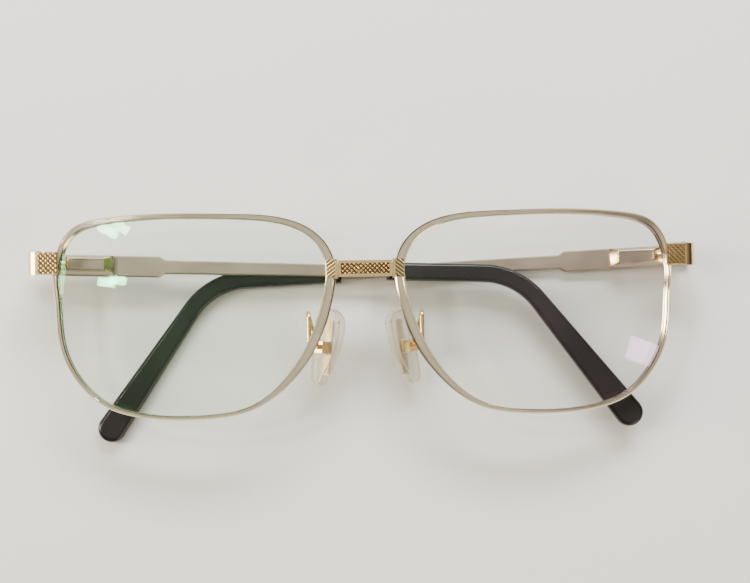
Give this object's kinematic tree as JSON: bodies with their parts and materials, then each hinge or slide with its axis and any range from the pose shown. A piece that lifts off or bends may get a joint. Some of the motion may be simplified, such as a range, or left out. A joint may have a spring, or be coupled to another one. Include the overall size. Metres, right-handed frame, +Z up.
{
  "type": "eyeglasses",
  "caption": "Eyeglasses with full metal rims, a textured bridge, spring-hinged temples with dark tips and adjustable clear nose pads, stored folded.",
  "frame": {"origin": "bottom centre of the folded glasses, on the surface that they lie on", "axes": "+Z up out of the lenses' front, +X to the right and +Y to the top of the front, as seen from the front"},
  "size_m": [0.1396, 0.0458, 0.0174],
  "materials": {
    "rim_metal": "polished pale champagne plating",
    "gold_metal": "polished pale gold plating",
    "satin_metal": "satin champagne plating",
    "screw_steel": "polished",
    "spring_steel": "plain wire",
    "lens_glass": "clear with an anti-reflection coating",
    "clear_pad": "clear soft plastic",
    "black_tip": "polished"
  },
  "bodies": {
    "front": {"rim_left": "rim_metal", "lens_left": "lens_glass", "rim_right": "rim_metal", "lens_right": "lens_glass", "bridge_bar": "gold_metal", "bridge_inlay": "gold_metal", "bridge_collar_left": "gold_metal", "bridge_collar_right": "gold_metal", "endpiece_left": "gold_metal", "closing_block_upper_left": "rim_metal", "closing_block_lower_left": "rim_metal", "closing_screw_left": "screw_steel", "endpiece_right": "gold_metal", "closing_block_upper_right": "rim_metal", "closing_block_lower_right": "rim_metal", "closing_screw_right": "screw_steel", "hinge_front_left": "rim_metal", "hinge_screw_left": "screw_steel", "hinge_front_right": "rim_metal", "hinge_screw_right": "screw_steel", "pad_box_left": "gold_metal", "pad_screw_left": "screw_steel", "pad_arm_left": "gold_metal", "pad_box_right": "gold_metal", "pad_screw_right": "screw_steel", "pad_arm_right": "gold_metal"},
    "left_hinge_eye": {"flex_carriage_left": "rim_metal", "flex_nut_left": "spring_steel", "flex_spring_left": "spring_steel"},
    "left_temple": {"flex_bush_left": "spring_steel", "spring_box_left": "satin_metal", "temple_bar_left": "satin_metal", "temple_tip_left": "black_tip"},
    "left_nose_pad": {"nose_pad_left": "clear_pad", "pad_core_left": "gold_metal"},
    "right_hinge_eye": {"flex_carriage_right": "rim_metal", "flex_nut_right": "spring_steel", "flex_spring_right": "spring_steel"},
    "right_temple": {"flex_bush_right": "spring_steel", "spring_box_right": "satin_metal", "temple_bar_right": "satin_metal", "temple_tip_right": "black_tip"},
    "right_nose_pad": {"nose_pad_right": "clear_pad", "pad_core_right": "gold_metal"}
  },
  "joints": [
    {"name": "left_temple_fold", "type": "hinge", "parent": "front", "child": "left_hinge_eye", "pos_m": [-0.06649, 0.01445, 0.00588], "axis": [0, 1, 0], "range_deg": [0, 91.2]},
    {"name": "left_temple_flex", "type": "slide", "parent": "left_hinge_eye", "child": "left_temple", "axis": [0.9993, -0.0375, 0], "range_m": [0, 0.0012], "stiffness_N_per_m": 1500, "springref_m": -0.002, "deforming": ["flex_spring_left"]},
    {"name": "right_temple_fold", "type": "hinge", "parent": "front", "child": "right_hinge_eye", "pos_m": [0.06649, 0.01445, 0.0031], "axis": [0, -1, 0], "range_deg": [0, 88.8]},
    {"name": "right_temple_flex", "type": "slide", "parent": "right_hinge_eye", "child": "right_temple", "axis": [-0.9993, -0.0375, 0], "range_m": [0, 0.0012], "stiffness_N_per_m": 1500, "springref_m": -0.002, "deforming": ["flex_spring_right"]},
    {"name": "left_nose_pad_rock", "type": "hinge", "parent": "front", "child": "left_nose_pad", "pos_m": [-0.00888, -0.00432, 0.00727], "axis": [0.7405, -0.1507, 0.6549], "range_deg": [-8, 8]},
    {"name": "right_nose_pad_rock", "type": "hinge", "parent": "front", "child": "right_nose_pad", "pos_m": [0.00899, -0.00432, 0.00689], "axis": [0.7125, 0.1507, -0.6853], "range_deg": [-8, 8]}
  ]
}
